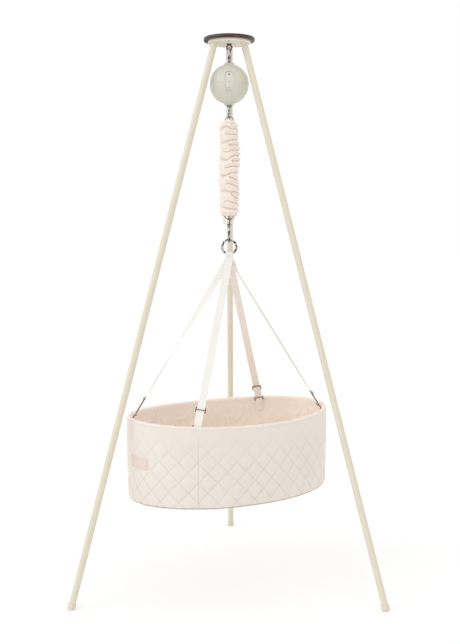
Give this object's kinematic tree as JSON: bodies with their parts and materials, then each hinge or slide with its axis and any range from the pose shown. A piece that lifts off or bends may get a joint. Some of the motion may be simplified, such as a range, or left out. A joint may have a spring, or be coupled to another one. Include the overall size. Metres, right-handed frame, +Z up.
{
  "type": "hanging cradle on a tripod stand",
  "caption": "Oval padded cradle that hangs by webbing straps, a steel ring, a covered spring and a motor ball from the head of a tripod stand, and bounces and swings.",
  "frame": {"origin": "on the floor, under the middle of the stand's footprint box", "axes": "+Z up; +Y towards the rear leg; +X to the right when the two front legs are in front"},
  "size_m": [1.0364, 0.9012, 1.85],
  "materials": {
    "walnut": "satin",
    "cream_enamel": "satin",
    "zinc_steel": "satin",
    "polished_steel": "polished",
    "ball_plastic": "matte",
    "panel_plastic": "satin",
    "button_plastic": "satin",
    "dark_plastic": "satin",
    "nylon": "matte",
    "board": "satin",
    "spring_steel": "satin",
    "copper_plate": "satin",
    "white_webbing": "matte",
    "blush_webbing": "matte",
    "sleeve_cotton": "matte",
    "cord_cotton": "matte",
    "quilted_cotton": "matte",
    "lining_cotton": "matte",
    "foam_board": "matte",
    "plywood": "matte",
    "mattress_cotton": "matte",
    "steel_chassis": "satin"
  },
  "bodies": {
    "stand": {"head_disc": "walnut", "head_plate": "cream_enamel", "eye_bolt": "zinc_steel", "eye_nut": "zinc_steel", "disc_screws": "zinc_steel", "leg_bolts": "zinc_steel", "leg_plugs": "zinc_steel", "leg_left": "cream_enamel", "leg_right": "cream_enamel", "leg_rear": "cream_enamel", "foot_left": "nylon", "foot_right": "nylon", "foot_rear": "nylon"},
    "upper_link": {"upper_hook": "polished_steel"},
    "upper_latch": {"upper_gate": "polished_steel"},
    "motor": {"shell_upper": "ball_plastic", "shell_lower": "ball_plastic", "control_panel": "panel_plastic", "status_lens": "dark_plastic", "hanging_bail": "zinc_steel", "motor_chassis": "steel_chassis", "gearbox": "zinc_steel", "motor_can": "zinc_steel", "circuit_board": "board", "button_switches": "dark_plastic", "power_inlet": "dark_plastic", "shell_screws": "zinc_steel"},
    "power_key": {"power_button": "button_plastic"},
    "speed_key": {"speed_button": "button_plastic"},
    "drum": {"winding_drum": "nylon"},
    "pull": {"pull_cord": "nylon", "pull_eye": "zinc_steel"},
    "lower_link": {"lower_hook": "polished_steel"},
    "lower_latch": {"lower_gate": "polished_steel"},
    "spring_top": {"spring": "spring_steel", "safety_cord": "cord_cotton", "spring_sleeve": "sleeve_cotton"},
    "spring_end": {"swivel_eye": "polished_steel", "sleeve_ties": "sleeve_cotton"},
    "swivel": {"swivel_hook": "polished_steel"},
    "swivel_latch": {"swivel_gate": "polished_steel"},
    "hanging_ring": {"ring": "polished_steel"},
    "cradle": {"strap_loop": "white_webbing", "strap_left": "blush_webbing", "strap_front": "white_webbing", "strap_back": "blush_webbing", "strap_right": "blush_webbing", "strap_sliders": "copper_plate", "anchor_loops": "copper_plate", "anchor_tabs": "lining_cotton", "outer_cover": "quilted_cotton", "bottom_panel": "quilted_cotton", "wall_stiffener": "foam_board", "rim_roll": "quilted_cotton", "liner": "lining_cotton", "base_board": "plywood", "mattress": "mattress_cotton", "label_patch": "lining_cotton"}
  },
  "joints": [
    {"name": "upper_hook_swing", "type": "hinge", "parent": "stand", "child": "upper_link", "pos_m": [0, -0.14578, 1.81], "axis": [-0.9848, 0.1736, 0], "range_deg": [-4, 2.5]},
    {"name": "upper_gate_press", "type": "hinge", "parent": "upper_link", "child": "upper_latch", "pos_m": [0.00191, -0.13495, 1.7804], "axis": [0.9848, -0.1736, 0], "range_deg": [0, 25], "stiffness_Nm_per_rad": 0.02, "springref_deg": -11.46},
    {"name": "motor_swing", "type": "hinge", "parent": "upper_link", "child": "motor", "pos_m": [0, -0.14578, 1.7658], "axis": [0.1736, 0.9848, 0], "range_deg": [-4, 1.7]},
    {"name": "power_press", "type": "slide", "parent": "motor", "child": "power_key", "axis": [0, 1, 0], "range_m": [0, 0.0012], "stiffness_N_per_m": 300, "springref_m": -0.001},
    {"name": "speed_press", "type": "slide", "parent": "motor", "child": "speed_key", "axis": [0, 1, 0], "range_m": [0, 0.0012], "stiffness_N_per_m": 300, "springref_m": -0.001},
    {"name": "pull_travel", "type": "slide", "parent": "motor", "child": "pull", "axis": [0, 0, -1], "range_m": [0, 0.035], "deforming": ["pull_cord"]},
    {"name": "drum_turn", "type": "hinge", "parent": "motor", "child": "drum", "pos_m": [0, -0.15729, 1.69485], "axis": [-1, 0, 0], "range_deg": [0, 176]},
    {"name": "lower_hook_swing", "type": "hinge", "parent": "pull", "child": "lower_link", "pos_m": [0, -0.14578, 1.62205], "axis": [0.9659, -0.2588, 0], "range_deg": [-2.5, 4]},
    {"name": "lower_gate_press", "type": "hinge", "parent": "lower_link", "child": "lower_latch", "pos_m": [0.00239, -0.13685, 1.6012], "axis": [0.9659, -0.2588, 0], "range_deg": [0, 25], "stiffness_Nm_per_rad": 0.02, "springref_deg": -11.46},
    {"name": "spring_swing", "type": "hinge", "parent": "lower_link", "child": "spring_top", "pos_m": [0, -0.14578, 1.5891], "axis": [-0.2588, -0.9659, 0], "range_deg": [-2.5, 4]},
    {"name": "spring_bounce", "type": "slide", "parent": "spring_top", "child": "spring_end", "axis": [0, 0, -1], "range_m": [-0.03, 0.04], "stiffness_N_per_m": 600, "springref_m": -0.12109, "deforming": ["spring", "safety_cord", "spring_sleeve"]},
    {"name": "swivel_turn", "type": "hinge", "parent": "spring_end", "child": "swivel", "pos_m": [0, -0.14578, 1.22545], "axis": [0, 0, 1], "continuous": true},
    {"name": "swivel_gate_press", "type": "hinge", "parent": "swivel", "child": "swivel_latch", "pos_m": [0.00077, -0.13481, 1.18805], "axis": [0.9976, -0.0698, 0], "range_deg": [0, 25], "stiffness_Nm_per_rad": 0.02, "springref_deg": -11.46},
    {"name": "ring_swing", "type": "hinge", "parent": "swivel", "child": "hanging_ring", "pos_m": [0, -0.14578, 1.17345], "axis": [-0.9976, 0.0698, 0], "range_deg": [-6, 6]},
    {"name": "cradle_rock", "type": "hinge", "parent": "hanging_ring", "child": "cradle", "pos_m": [0, -0.14578, 1.13275], "axis": [1, 0, 0], "range_deg": [-6, 6]}
  ],
  "couplings": [
    {"joint": "drum_turn", "follows": "pull_travel", "rad_per_m": 86.957}
  ]
}
